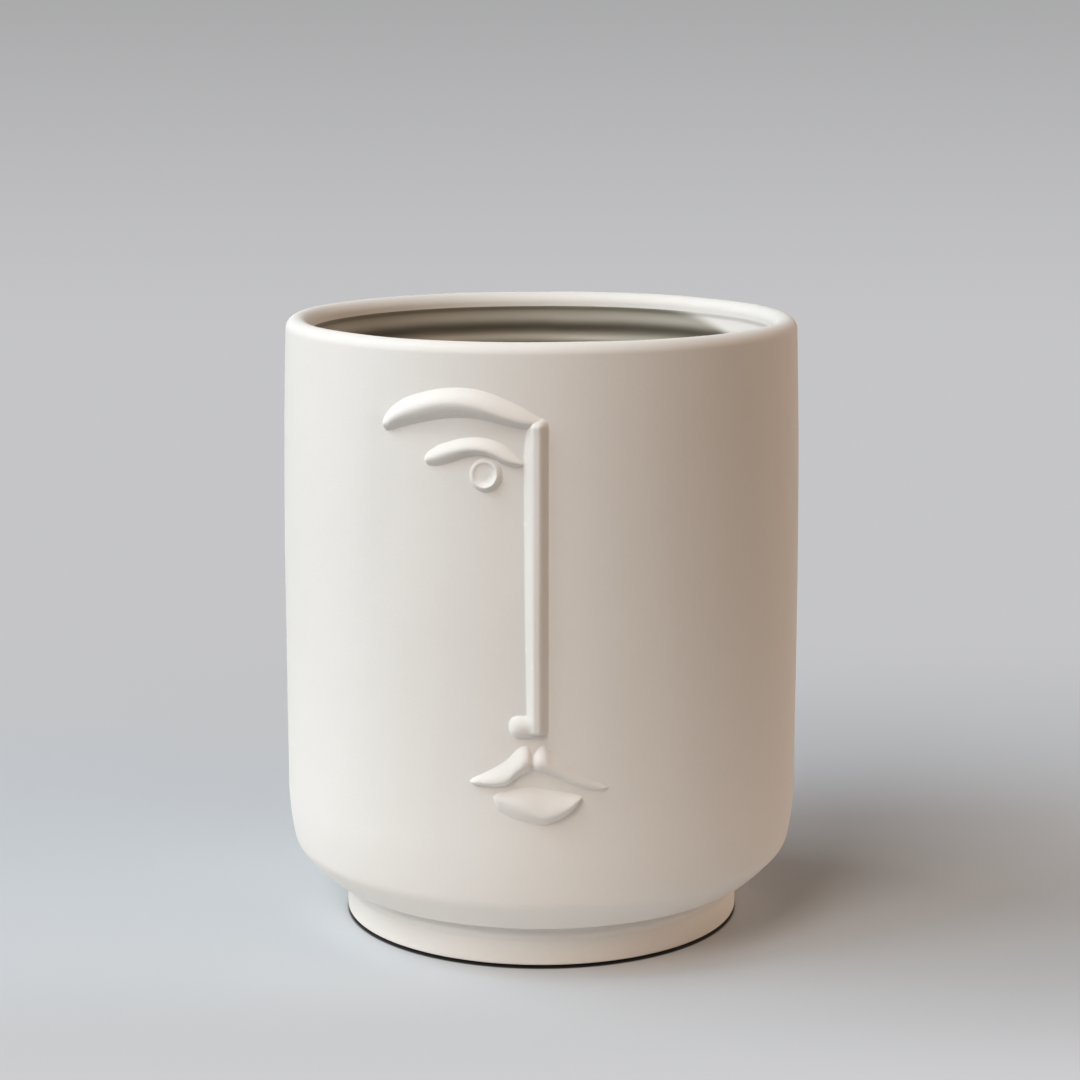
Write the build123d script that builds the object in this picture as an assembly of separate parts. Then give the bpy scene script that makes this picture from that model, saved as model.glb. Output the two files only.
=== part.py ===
from build123d import *

import os
from math import cos, radians, sin, sqrt

# A head planter: a straight-walled pot with a bevelled shoulder, a ring foot and half a face in low relief.
# Millimetres, +Z up. The origin is on the pot's axis, on the surface that it stands on. The face looks
# towards -Y, and lengths round the wall are counted from the front centre line, positive towards +X.

# Pot wall: upright up to the draw height, and drawn in a little from there to the rim
body_radius = 63.7
draw_in = 1.2
draw_height = 78.0
pot_height = 150.4
wall = 6.8
floor_thickness = 6.5
drain_radius = 6.0
drain_chamfer = 0.8
cavity_fillet = 14.0

# Shoulder, from the straight wall down to the flat underside: radius and direction reached, in degrees
belly_radius = 65.0
belly_turn = 11.5
shoulder_radius = 7.0
shoulder_turn = 42.0
bevel_radius = 60.0
bevel_turn = 50.0
under_radius = 3.0
under_turn = 90.0

# Foot ring
foot_radius = 49.2
foot_width = 6.2
foot_height = 11.4
foot_outer_round = 0.5
foot_inner_round = 1.0
foot_step_height = 0.8
foot_step_depth = 2.8
bead_height = 8.5
bead_width = 2.4
bead_proud = 0.35

# Glaze lining: a skin in a shallow rebate of the wall, ending under the lip
glaze = 0.5
glaze_line_drop = 0.9
glaze_holdback = 2.0
ring_pitch = 5.0
ring_width = 3.6
ring_depth = 0.28
ring_count = 5

# Relief in general: how deep in the wall a piece is built, and its curve starts, before it is cut to the wall
relief_root = 1.2
curve_root = 0.15

# Brow. The upper half of the face is placed down from the rim, the lower half up from the table.
brow_reach = 38.2
brow_drop = 20.9
brow_arch = 11.2
brow_rise = 2.0

# Eyelid
lid_reach = 27.2
lid_drop = 28.2
lid_arch = 7.5
lid_rise = 1.6

# Iris
iris_place = -12.45
iris_drop = 30.0
iris_radius = 3.95
iris_rise = 1.3
iris_rim_width = 0.8
iris_dish = 0.25

# Nose and nostril
nose_base = 60.8
nose_drop = 16.2
nose_left = 4.2
nose_right = 1.7
nose_rise = 2.1
nostril_reach = 7.2
nostril_height = 4.8
nostril_rise = 1.9

# Lips
upper_lip_reach = 16.35
upper_lip_base = 47.9
upper_lip_height = 11.45
upper_lip_rise = 2.0
lower_lip_reach = 10.9
lower_lip_base = 39.5
lower_lip_height = 10.9
lower_lip_rise = 1.9

# Stations of each relief piece, as shares of its own sizes: place along its reach, foot, top and rise
brow_shares = [
    (-1.000, 0.10, 0.24, 0.12),
    (-0.974, 0.05, 0.42, 0.55),
    (-0.929, 0.03, 0.58, 0.80),
    (-0.838, 0.11, 0.76, 0.95),
    (-0.707, 0.23, 0.90, 1.00),
    (-0.550, 0.33, 1.00, 1.00),
    (-0.393, 0.35, 0.99, 1.00),
    (-0.249, 0.28, 0.87, 1.00),
    (-0.131, 0.17, 0.68, 0.95),
    (-0.052, 0.15, 0.53, 0.85),
    (0.010, 0.22, 0.37, 0.50),
]
lid_shares = [
    (-1.000, 0.19, 0.40, 0.12),
    (-0.963, 0.10, 0.57, 0.55),
    (-0.882, 0.06, 0.73, 0.85),
    (-0.754, 0.15, 0.88, 1.00),
    (-0.588, 0.33, 1.00, 1.00),
    (-0.441, 0.34, 0.95, 1.00),
    (-0.324, 0.18, 0.80, 1.00),
    (-0.243, 0.10, 0.63, 0.85),
    (-0.191, 0.08, 0.43, 0.55),
    (-0.172, 0.13, 0.32, 0.15),
]
nostril_shares = [
    (-1.00, 0.38, 0.66, 0.12),
    (-0.95, 0.18, 0.82, 0.55),
    (-0.86, 0.06, 0.93, 0.85),
    (-0.73, 0.00, 0.99, 1.00),
    (-0.55, 0.00, 1.00, 1.00),
    (-0.36, 0.00, 1.00, 1.00),
]
upper_lip_shares = [
    (-1.000, 0.16, 0.21, 0.12),
    (-0.940, 0.10, 0.28, 0.50),
    (-0.823, 0.07, 0.38, 0.80),
    (-0.621, 0.08, 0.57, 0.95),
    (-0.458, 0.20, 0.76, 1.00),
    (-0.340, 0.29, 0.93, 1.00),
    (-0.238, 0.35, 1.00, 1.00),
    (-0.117, 0.41, 0.80, 0.62),
    (-0.040, 0.39, 0.93, 0.90),
    (0.057, 0.36, 1.00, 1.00),
    (0.133, 0.32, 0.89, 0.92),
    (0.315, 0.21, 0.71, 0.80),
    (0.498, 0.10, 0.46, 0.70),
    (0.696, 0.01, 0.27, 0.58),
    (0.880, 0.00, 0.14, 0.38),
    (0.948, 0.02, 0.08, 0.12),
]
lower_lip_shares = [
    (-1.000, 0.64, 0.73, 0.12),
    (-0.927, 0.52, 0.78, 0.50),
    (-0.734, 0.35, 0.84, 0.80),
    (-0.459, 0.15, 0.93, 0.95),
    (-0.183, 0.04, 1.00, 1.00),
    (0.044, 0.00, 0.95, 1.00),
    (0.275, 0.03, 0.93, 1.00),
    (0.515, 0.17, 0.88, 0.95),
    (0.716, 0.40, 0.82, 0.75),
    (0.780, 0.54, 0.79, 0.45),
    (0.817, 0.64, 0.76, 0.12),
]
# Nose stations: height up its length, then its left side, right side and rise
nose_shares = [
    (0.000, 0.62, 0.55, 0.45),
    (0.010, 0.76, 0.95, 0.90),
    (0.030, 0.79, 1.00, 1.00),
    (0.080, 0.80, 1.00, 1.00),
    (0.180, 0.82, 1.00, 1.00),
    (0.350, 0.86, 1.00, 1.00),
    (0.550, 0.91, 1.00, 1.00),
    (0.750, 0.96, 1.00, 1.00),
    (0.880, 0.99, 1.00, 1.00),
    (0.950, 1.00, 1.00, 1.00),
    (0.985, 0.96, 0.95, 0.92),
    (1.000, 0.70, 0.50, 0.40),
]
# Bezier poles of a relief section, between its top and its foot: how far over, and how high
soft_top_shares = [(0.58, 0.96), (0.00, 1.67)]
sloped_ridge_shares = [(0.60, 0.80), (0.34, 1.80)]
flat_crest_shares = [(0.72, 1.15), (0.28, 1.52)]

# Worked out from the sizes above
corner = [(belly_radius, belly_turn), (shoulder_radius, shoulder_turn)]
corner += [(bevel_radius, bevel_turn), (under_radius, under_turn)]
mouth_radius = body_radius - wall
cavity_radius = mouth_radius + glaze
rim_radius = body_radius - draw_in
lip_radius = (rim_radius - mouth_radius) / 2
lip_height = pot_height - lip_radius
draw_radius = ((lip_height - draw_height) ** 2 + draw_in**2) / (2 * draw_in)
glaze_top = lip_height - glaze_line_drop
floor_top = foot_height + floor_thickness
foot_inner = foot_radius - foot_width
brow_base = pot_height - brow_drop
lid_base = pot_height - lid_drop
iris_height = pot_height - iris_drop
nose_length = pot_height - nose_drop - nose_base


def corner_drop():
    """Height of the curved corner, from the straight wall down to the underside."""
    drop = 0
    reached = 0
    for radius, turn in corner:
        drop += radius * (sin(radians(turn)) - sin(radians(reached)))
        reached = turn
    return drop


def wall_foot():
    """Height at which the upright wall starts."""
    return foot_height + corner_drop()


def wall_lines():
    """The outside of the wall, from the lip down to the corner."""
    start = (body_radius, draw_height)
    drawn = TangentArc(start, (rim_radius, lip_height), tangent=(0, 1))
    return [drawn, Line(start, (body_radius, wall_foot()))]


def wall_radius(height):
    """Radius of the wall's outside at a height."""
    over = max(0, height - draw_height)
    return body_radius - draw_radius + sqrt(draw_radius**2 - over**2)


def turned(lines):
    """A closed outline in the XZ plane, turned about the pot's axis."""
    return revolve(Plane.XZ * make_face(lines), Axis.Z)


def make_pot_body():
    """Wall, full-round lip, shoulder and floor, with the rebate that the glaze fills."""
    lines = wall_lines()
    reached = 0
    for radius, turn in corner:
        last = lines[-1]
        lines.append(JernArc(last @ 1, last % 1, radius, reached - turn))
        reached = turn
    under = lines[-1] @ 1
    floor = [
        under,
        (drain_radius + drain_chamfer, under.Y),
        (drain_radius, under.Y + drain_chamfer),
        (drain_radius, floor_top - drain_chamfer),
        (drain_radius + drain_chamfer, floor_top),
        (cavity_radius - cavity_fillet, floor_top),
    ]
    lines.append(Polyline(*floor))
    lines.append(JernArc(floor[-1], (1, 0), cavity_fillet, 90))
    inside = [lines[-1] @ 1, (cavity_radius, glaze_top), (mouth_radius, glaze_top), (mouth_radius, lip_height)]
    lines.append(Polyline(*inside))
    crest = (rim_radius - lip_radius, pot_height)
    lines.append(ThreePointArc(inside[-1], crest, (rim_radius, lip_height)))
    return turned(lines)


def make_foot_ring():
    """The ring under the floor: a bead where its top was wiped into the pot, and a lower edge stepped back."""
    bead_top = bead_height + bead_width / 2
    bead_foot = bead_height - bead_width / 2
    stand_radius = foot_radius - foot_step_depth
    lines = [
        Line((foot_inner, foot_height), (foot_radius, foot_height)),
        Line((foot_radius, foot_height), (foot_radius, bead_top)),
        ThreePointArc((foot_radius, bead_top), (foot_radius + bead_proud, bead_height), (foot_radius, bead_foot)),
        Line((foot_radius, bead_foot), (foot_radius, foot_step_height + foot_outer_round)),
    ]
    lines.append(JernArc(lines[-1] @ 1, (0, -1), foot_outer_round, -90))
    stand = [lines[-1] @ 1, (stand_radius, foot_step_height), (stand_radius, 0), (foot_inner + foot_inner_round, 0)]
    lines.append(Polyline(*stand))
    lines.append(JernArc(lines[-1] @ 1, (-1, 0), foot_inner_round, -90))
    lines.append(Line(lines[-1] @ 1, (foot_inner, foot_height)))
    return turned(lines)


def make_glaze_lining():
    """The skin inside, flush with the lip, with soft rings near the mouth and a bare margin at the drain."""
    bare = drain_radius + drain_chamfer + glaze_holdback
    skin_top = floor_top + glaze
    lines = [Polyline((cavity_radius, glaze_top), (cavity_radius, floor_top + cavity_fillet))]
    lines.append(JernArc(lines[-1] @ 1, (0, -1), cavity_fillet, -90))
    lines.append(Polyline(lines[-1] @ 1, (bare, floor_top), (bare, skin_top), (cavity_radius - cavity_fillet, skin_top)))
    lines.append(JernArc(lines[-1] @ 1, (1, 0), cavity_fillet - glaze, 90))
    for ring in reversed(range(ring_count)):
        top = glaze_top - ring_pitch * (ring + 1) + ring_width
        foot = top - ring_width
        lines.append(Line(lines[-1] @ 1, (mouth_radius, foot)))
        bulge = (mouth_radius + ring_depth, (top + foot) / 2)
        lines.append(ThreePointArc((mouth_radius, foot), bulge, (mouth_radius, top)))
    lines.append(Polyline(lines[-1] @ 1, (mouth_radius, glaze_top), (cavity_radius, glaze_top)))
    return turned(lines)


def wall_point(along, height):
    """A point on the wall's outside, from a length round it and a height."""
    radius = wall_radius(height)
    angle = along / radius
    return Vector(radius * sin(angle), -radius * cos(angle), height), angle


def across_wall(along, base, span):
    """Plane across a piece that runs round the wall: local X up the wall's slope, local Y outwards."""
    foot, angle = wall_point(along, base)
    top = wall_point(along, base + span)[0]
    rise = top.Z - foot.Z
    lean = wall_radius(base + span) - wall_radius(base)
    upwards = (lean * sin(angle), -lean * cos(angle), rise)
    return Plane(foot, x_dir=upwards, z_dir=(cos(angle), sin(angle), 0))


def level_on_wall(height):
    """Level plane on the front centre line: local X to the left of who looks at it, local Y outwards."""
    return Plane(wall_point(0, height)[0], x_dir=(-1, 0, 0), z_dir=(0, 0, 1))


def relief_section(plane, foot, top, rise, pole_shares):
    """One slice of a relief piece: a straight root in the wall, and a crest that leans to its foot."""
    width = top - foot
    poles = [(foot + width * over, rise * high) for over, high in pole_shares]
    lines = [
        Line((foot, -curve_root), (foot, -relief_root)),
        Line((foot, -relief_root), (top, -relief_root)),
        Line((top, -relief_root), (top, -curve_root)),
        Bezier((top, -curve_root), *poles, (foot, -curve_root)),
    ]
    return plane * make_face(lines)


def seated(blank, *neighbours):
    """A relief piece cut to the curve of the wall, and to the pieces that lie against it."""
    foot = wall_foot()
    lines = wall_lines()
    lines.append(Polyline((body_radius, foot), (0, foot), (0, lip_height), (rim_radius, lip_height)))
    piece = blank - turned(lines)
    for neighbour in neighbours:
        piece -= neighbour
    return piece


def crosswise(shares, reach, base, height, rise, poles=soft_top_shares):
    """A relief piece that runs round the wall, lofted through upright slices."""
    slices = []
    for along, foot, top, high in shares:
        plane = across_wall(reach * along, base, height)
        slices.append(relief_section(plane, height * foot, height * top, rise * high, poles))
    return loft(slices)


def make_nose():
    """The ridge, lofted up its length, with the nostril run into its foot."""
    slices = []
    for up, left, right, high in nose_shares:
        plane = level_on_wall(nose_base + nose_length * up)
        foot = -nose_right * right
        slices.append(relief_section(plane, foot, nose_left * left, nose_rise * high, flat_crest_shares))
    nostril = crosswise(nostril_shares, nostril_reach, nose_base, nostril_height, nostril_rise)
    return seated(loft(slices) + nostril)


def make_iris():
    """A dished button, turned about its own axis and seated on the wall."""
    crest = iris_radius - iris_rim_width
    lines = [
        Polyline((0, iris_dish), (0, -relief_root), (iris_radius, -relief_root), (iris_radius, -curve_root)),
        Bezier((iris_radius, -curve_root), (iris_radius, iris_rise), (crest, iris_rise)),
        Bezier((crest, iris_rise), (crest - iris_rim_width, iris_rise), (crest / 2, iris_dish), (0, iris_dish)),
    ]
    plane = across_wall(iris_place, iris_height, iris_radius)
    return seated(revolve(plane * make_face(lines), Axis(plane.origin, plane.y_dir)))


def main():
    nose = make_nose()
    brow = crosswise(brow_shares, brow_reach, brow_base, brow_arch, brow_rise, sloped_ridge_shares)
    eyelid = crosswise(lid_shares, lid_reach, lid_base, lid_arch, lid_rise, sloped_ridge_shares)
    upper_lip = crosswise(upper_lip_shares, upper_lip_reach, upper_lip_base, upper_lip_height, upper_lip_rise)
    lower_lip = crosswise(lower_lip_shares, lower_lip_reach, lower_lip_base, lower_lip_height, lower_lip_rise)
    pieces = {
        "pot_body": make_pot_body(),
        "foot_ring": make_foot_ring(),
        "glaze_lining": make_glaze_lining(),
        "nose": nose,
        "brow": seated(brow, nose),
        "eyelid": seated(eyelid, nose),
        "iris": make_iris(),
        "upper_lip": seated(upper_lip),
        "lower_lip": seated(lower_lip),
    }
    os.makedirs("parts", exist_ok=True)
    for name, piece in pieces.items():
        export_step(piece, f"parts/{name}.step")
        print(name, len(piece.solids()), "solid", round(piece.volume), "mm3")


main()
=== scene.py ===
# %% [markdown]
# # A planter with half a face
#
# The real object is one fired clay pot. The wall, the ring foot and the pieces of the face are made apart,
# joined with slip while the clay is still damp, and fired as one. This notebook dresses the measured solids
# in the same way: each piece of clay is a mesh of its own, set into the wall that carries it.
#
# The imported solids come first. They say where everything is, in metres, with the pot's axis on Z, the table
# at Z = 0 and the face towards -Y.

# %% Load the measured part
from math import cos, pi, radians, sin

import bmesh
import bpy
import numpy as np
from mathutils import Matrix, Vector


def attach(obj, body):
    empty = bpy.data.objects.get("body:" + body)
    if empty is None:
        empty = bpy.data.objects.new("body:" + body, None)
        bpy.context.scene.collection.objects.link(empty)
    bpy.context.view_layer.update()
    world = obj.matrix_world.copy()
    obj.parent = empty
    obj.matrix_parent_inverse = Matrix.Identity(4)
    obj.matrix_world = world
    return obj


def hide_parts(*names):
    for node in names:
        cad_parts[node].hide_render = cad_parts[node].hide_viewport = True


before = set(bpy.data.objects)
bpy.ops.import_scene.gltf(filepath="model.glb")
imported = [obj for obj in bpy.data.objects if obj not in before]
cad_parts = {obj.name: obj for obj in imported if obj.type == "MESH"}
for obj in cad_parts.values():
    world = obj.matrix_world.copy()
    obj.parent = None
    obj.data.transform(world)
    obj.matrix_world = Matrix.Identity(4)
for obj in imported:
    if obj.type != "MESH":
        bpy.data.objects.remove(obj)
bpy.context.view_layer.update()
scene = bpy.context.scene
MM = 0.001
print("solids:", sorted(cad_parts))

# %% [markdown]
# ## Sizes
#
# The sizes are the solids' own, in millimetres, and what follows is worked out from them. The glazed lining
# lies in a shallow rebate of the wall, so the cavity in the clay is wider than the mouth by the thickness of
# the glaze. The dressed wall is going to be a little uneven, and clay that swells past its measured size is
# wrong, so its outside is drawn in by a slack that is more than all its waves together.

# %% Sizes of the pot
BODY_R = 63.7
RIM_R = 62.5
MOUTH_R = 56.9
POT_H = 150.4
DRAW_Z = 78.0
FOOT_H = 11.4
FLOOR_Z = 17.9
DRAIN_R = 6.0
CHAMFER = 0.8
GLAZE = 0.5
SLACK = 0.07
LIP_R = (RIM_R - MOUTH_R) / 2
LIP_Z = POT_H - LIP_R
BARE_LIP = 0.9
GLAZE_TOP = LIP_Z - BARE_LIP
DRAW_R = ((LIP_Z - DRAW_Z) ** 2 + (BODY_R - RIM_R) ** 2) / (2 * (BODY_R - RIM_R))
CAVITY_R = MOUTH_R + GLAZE
CAVITY_FILLET = 14.0
# Belly, shoulder, bevel and the round under it: each arc's radius, and how far from upright it has turned.
CORNER = [(65.0, 11.5), (7.0, 42.0), (60.0, 50.0), (3.0, 90.0)]
print("belly", 2 * BODY_R, "mm across, rim", 2 * RIM_R, "mm, mouth", 2 * MOUTH_R, "mm")

# %% [markdown]
# ## Drawing a profile
#
# A pot is a profile turned about an axis, so the first helper is a pen that walks through the (radius,
# height) plane in straight runs and arcs, the way a turner's template is drawn. Each arc starts in the
# direction in which the last run ended, so curves meet without a kink. A Bezier curve with a Screw modifier
# would also turn a pot, but arcs of a known radius are what the measured solid is made of.

# %% A pen for profiles
class Pen:
    """Walks through the radius and height plane and keeps the points that it passes."""

    def __init__(self, r, z, heading):
        self.points = [(r, z)]
        self.heading = radians(heading)

    def to(self, r, z, step=1.1):
        """A straight run, cut into short steps so that the wall can be shaped between them."""
        r0, z0 = self.points[-1]
        length = max(abs(r - r0), abs(z - z0))
        count = max(1, round(length / step))
        for i in range(1, count + 1):
            self.points.append((r0 + (r - r0) * i / count, z0 + (z - z0) * i / count))
        return self

    def arc(self, radius, turn, step):
        """An arc from the present heading. A positive turn is anticlockwise, in degrees."""
        side = 1 if turn > 0 else -1
        r0, z0 = self.points[-1]
        centre = (r0 - side * radius * sin(self.heading), z0 + side * radius * cos(self.heading))
        count = max(4, round(radius * radians(abs(turn)) / step))
        start = self.heading
        for i in range(1, count + 1):
            heading = start + radians(turn) * i / count
            r = centre[0] + side * radius * sin(heading)
            z = centre[1] - side * radius * cos(heading)
            self.points.append((r, z))
        self.heading = start + radians(turn)
        return self


# %% Turn a profile about the axis
SEGMENTS = 360
WELD = 0.01


def turned(points):
    """A bmesh of a closed profile, spun through a quarter turn and then copied round the Z axis."""
    bm = bmesh.new()
    verts = [bm.verts.new((r * MM, 0, z * MM)) for r, z in points]
    edges = [bm.edges.new((verts[i], verts[(i + 1) % len(verts)])) for i in range(len(verts))]
    bmesh.ops.spin(bm, geom=verts + edges, cent=(0, 0, 0), axis=(0, 0, 1), angle=pi / 2,
                   steps=SEGMENTS // 4, use_merge=False, use_duplicate=False)
    for turn in (90, 180):
        copied = bmesh.ops.duplicate(bm, geom=bm.verts[:] + bm.edges[:] + bm.faces[:])["geom"]
        bmesh.ops.rotate(bm, verts=[g for g in copied if isinstance(g, bmesh.types.BMVert)],
                         cent=(0, 0, 0), matrix=Matrix.Rotation(radians(turn), 3, "Z"))
    bmesh.ops.remove_doubles(bm, verts=bm.verts, dist=WELD * MM)
    bmesh.ops.recalc_face_normals(bm, faces=bm.faces)
    return bm


# %% [markdown]
# ## The unevenness of a hand-finished wall
#
# A poured or thrown pot is never a perfect cylinder. It is a few hundredths of a millimetre out of round,
# and round the eye the maker has pressed the wall in by up to half a millimetre, which is what gives the
# brow its shade. The measured solid has no such hollow: it is shaped here only. A Displace modifier with a
# noise could do the same, but a function can be asked for the wall and for every piece that lies on it, so
# they always meet.

# %% How far the wall stands from a true cylinder
# The wall's waves: how high, how many round the pot, where they start, and their turn per millimetre up.
WALL_WAVES = [(0.025, 2, 0.7, 0), (0.02, 3, 2.1, 1 / 60), (0.012, 2, 0, 1 / 11), (0.008, 5, 1, 1 / 6.3)]
# The hollow round the eye. Each way it starts, takes a run to reach its depth, and ends after a last run.
HOLLOW_DEPTH = 0.5
HOLLOW_AROUND = (-46.0, 12.0, 2.0, 6.0)
HOLLOW_UPWARDS = (84.0, 34.0, 134.0, 5.0)


def ease(x):
    """0 below 0, 1 above 1, and a smooth step between them."""
    x = np.clip(x, 0, 1)
    return x * x * (3 - 2 * x)


def plateau(x, start, run_up, end, run_down):
    """0 outside start and end and 1 between them, with a smooth step over each run."""
    return ease((x - start) / run_up) * ease((end - x) / run_down)


def wall_radius(z):
    """Radius of the true wall, which draws in a little from the belly to the rim."""
    over = np.maximum(0, z - DRAW_Z)
    return BODY_R - DRAW_R + np.sqrt(DRAW_R**2 - over**2)


def wall_offset(around, z):
    """Millimetres outwards, for a place given as arc length round the wall and height."""
    angle = around / wall_radius(z)
    out = sum(high * np.sin(count * angle + start + climb * z) for high, count, start, climb in WALL_WAVES)
    return out - SLACK - HOLLOW_DEPTH * plateau(around, *HOLLOW_AROUND) * plateau(z, *HOLLOW_UPWARDS)


def on_wall(around, z, rise):
    """Points in metres, for arrays of arc length, height and rise over the wall."""
    radius = (wall_radius(z) + wall_offset(around, z) + rise) * MM
    angle = around / wall_radius(z)
    return np.stack([radius * np.sin(angle), -radius * np.cos(angle), z * MM], -1)


print("wall offset at the eye:", round(float(wall_offset(-20.0, 120.0)), 2), "mm")

# %% [markdown]
# ## Finishes
#
# Two materials share two effects. The first effect is the tone of fired clay: broad soft clouds where the
# body dried unevenly, and a fine tooth. The second is painted light and shade: edges are made paler, partly
# by rubbing and partly as a painted highlight, and creases are painted a little browner as shade. Both are
# node groups with named inputs, so that the bare clay and the glaze can ask for them with different
# strengths. A picture of clay could be wrapped round the pot instead, but it would have a seam, and patterns
# worked out from the object's own coordinates have none.

# %% Small helpers for shader trees
def new_group(name, inputs, outputs):
    """An empty shader group with its sockets, and its two end nodes."""
    tree = bpy.data.node_groups.new(name, "ShaderNodeTree")
    for label, kind, value in inputs:
        socket = tree.interface.new_socket(label, in_out="INPUT", socket_type=kind)
        socket.default_value = value
    for label, kind in outputs:
        tree.interface.new_socket(label, in_out="OUTPUT", socket_type=kind)
    return tree, tree.nodes.new("NodeGroupInput"), tree.nodes.new("NodeGroupOutput")


def add(tree, kind, settings=None, values=None):
    """A node with its settings, and with the values of its unlinked inputs."""
    node = tree.nodes.new(kind)
    for key, value in (settings or {}).items():
        setattr(node, key, value)
    for key, value in (values or {}).items():
        node.inputs[key].default_value = value
    return node


def feed(tree, socket, value):
    """Fills an input: linked to another socket, or set to a colour or a number."""
    if isinstance(value, bpy.types.NodeSocket):
        tree.links.new(value, socket)
    elif isinstance(value, tuple):
        socket.default_value = (*value, 1)
    else:
        socket.default_value = value


def math_node(tree, operation, a, b=0.0):
    """A Math node whose inputs are sockets or numbers."""
    node = add(tree, "ShaderNodeMath", {"operation": operation})
    feed(tree, node.inputs[0], a)
    feed(tree, node.inputs[1], b)
    return node.outputs[0]


def product(tree, first, *others):
    """All the factors multiplied, with one Math node after another."""
    for factor in others:
        first = math_node(tree, "MULTIPLY", first, factor)
    return first


def weighed(tree, a, b, share):
    """A share of the first value and the rest of the second."""
    return math_node(tree, "ADD", product(tree, a, share), product(tree, b, 1 - share))


# %% Helpers for noise, ranges and colours
def noise_at(tree, where, scale, detail, roughness=0.5):
    """Noise on the object's own coordinates, in features per metre."""
    node = add(tree, "ShaderNodeTexNoise", None, {"Detail": detail, "Roughness": roughness})
    feed(tree, node.inputs["Vector"], where)
    feed(tree, node.inputs["Scale"], scale)
    return node.outputs["Fac"]


def remap(tree, value, start, end, low=0.0, high=1.0, curve="LINEAR"):
    """Turns the range from start to end into the one from low to high, and stays level outside it."""
    node = add(tree, "ShaderNodeMapRange", {"interpolation_type": curve},
               {"From Min": start, "From Max": end, "To Min": low, "To Max": high})
    feed(tree, node.inputs["Value"], value)
    return node.outputs["Result"]


def fade(tree, value, start, end, full=1.0):
    """0 before the start and full past the end, whichever of them is larger, with a smooth step between."""
    return remap(tree, value, start, end, 0.0, full, "SMOOTHSTEP")


def blend(tree, factor, a, b):
    """A colour between two others, each a socket or a red, green and blue."""
    node = add(tree, "ShaderNodeMix", {"data_type": "RGBA"})
    feed(tree, node.inputs["Factor"], factor)
    feed(tree, node.inputs["A"], a)
    feed(tree, node.inputs["B"], b)
    return node.outputs["Result"]


def object_place(tree):
    """The place on the object itself, as a vector and as its three parts."""
    place = add(tree, "ShaderNodeTexCoord").outputs["Object"]
    split = add(tree, "ShaderNodeSeparateXYZ")
    feed(tree, split.inputs["Vector"], place)
    return place, split.outputs["X"], split.outputs["Y"], split.outputs["Z"]


# %% The tone and tooth of fired clay
FLOAT, COLOR = "NodeSocketFloat", "NodeSocketColor"
CLOUDS_IN_TONE, TOOTH_IN_HEIGHT = 0.6, 0.7
CLOUD_THIN, CLOUD_DENSE = 0.34, 0.66
fired, enter, leave = new_group(
    "Fired clay tone",
    [("Clay", COLOR, (0.8, 0.8, 0.8, 1)), ("Shade", COLOR, (0.7, 0.7, 0.7, 1)),
     ("Cloud strength", FLOAT, 0.5), ("Tooth strength", FLOAT, 0.5), ("Tooth scale", FLOAT, 1800.0)],
    [("Color", COLOR), ("Tooth", FLOAT), ("Height", FLOAT)],
)
place = add(fired, "ShaderNodeTexCoord").outputs["Object"]
clouds = noise_at(fired, place, scale=26, detail=4, roughness=0.55)
drift = noise_at(fired, place, scale=9, detail=2)
tooth = noise_at(fired, place, enter.outputs["Tooth scale"], detail=3, roughness=0.65)
spread = remap(fired, weighed(fired, clouds, drift, CLOUDS_IN_TONE), CLOUD_THIN, CLOUD_DENSE)
cloudy = product(fired, spread, enter.outputs["Cloud strength"])
toothy = product(fired, tooth, enter.outputs["Tooth strength"])
share = math_node(fired, "ADD", cloudy, toothy)
shaded = blend(fired, share, enter.outputs["Clay"], enter.outputs["Shade"])
feed(fired, leave.inputs["Color"], shaded)
feed(fired, leave.inputs["Tooth"], tooth)
feed(fired, leave.inputs["Height"], weighed(fired, tooth, clouds, TOOTH_IN_HEIGHT))
print("group:", fired.name)

# %% Paler edges and painted crease shade
# Pointiness is 0.5 where the surface is flat, more on an edge and less in a crease.
EDGE_STARTS, EDGE_FULL = 0.505, 0.56
CREASE_STARTS, CREASE_FULL = 0.495, 0.43
edge_crease_group, enter, leave = new_group(
    "Edges and creases",
    [("Color", COLOR, (0.8, 0.8, 0.8, 1)), ("Edge", COLOR, (0.9, 0.9, 0.9, 1)),
     ("Crease", COLOR, (0.6, 0.5, 0.4, 1)), ("Edge strength", FLOAT, 0.5), ("Crease strength", FLOAT, 0.5)],
    [("Color", COLOR)],
)
# Edges are made paler, partly by rubbing and partly as a painted highlight. Creases are darkened as painted
# shade.
bend = add(edge_crease_group, "ShaderNodeNewGeometry").outputs["Pointiness"]
rubbed_and_highlit = product(edge_crease_group, remap(edge_crease_group, bend, EDGE_STARTS, EDGE_FULL), enter.outputs["Edge strength"])
crease_shade = product(edge_crease_group, remap(edge_crease_group, bend, CREASE_STARTS, CREASE_FULL), enter.outputs["Crease strength"])
wear_and_light = blend(edge_crease_group, rubbed_and_highlit, enter.outputs["Color"], enter.outputs["Edge"])
edges_and_crease_shade = blend(edge_crease_group, crease_shade, wear_and_light, enter.outputs["Crease"])
feed(edge_crease_group, leave.inputs["Color"], edges_and_crease_shade)
print("group:", edge_crease_group.name)

# %% Bare clay and glaze from the same two groups
TOOTH_LOW, TOOTH_HIGH = 0.3, 0.7


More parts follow.
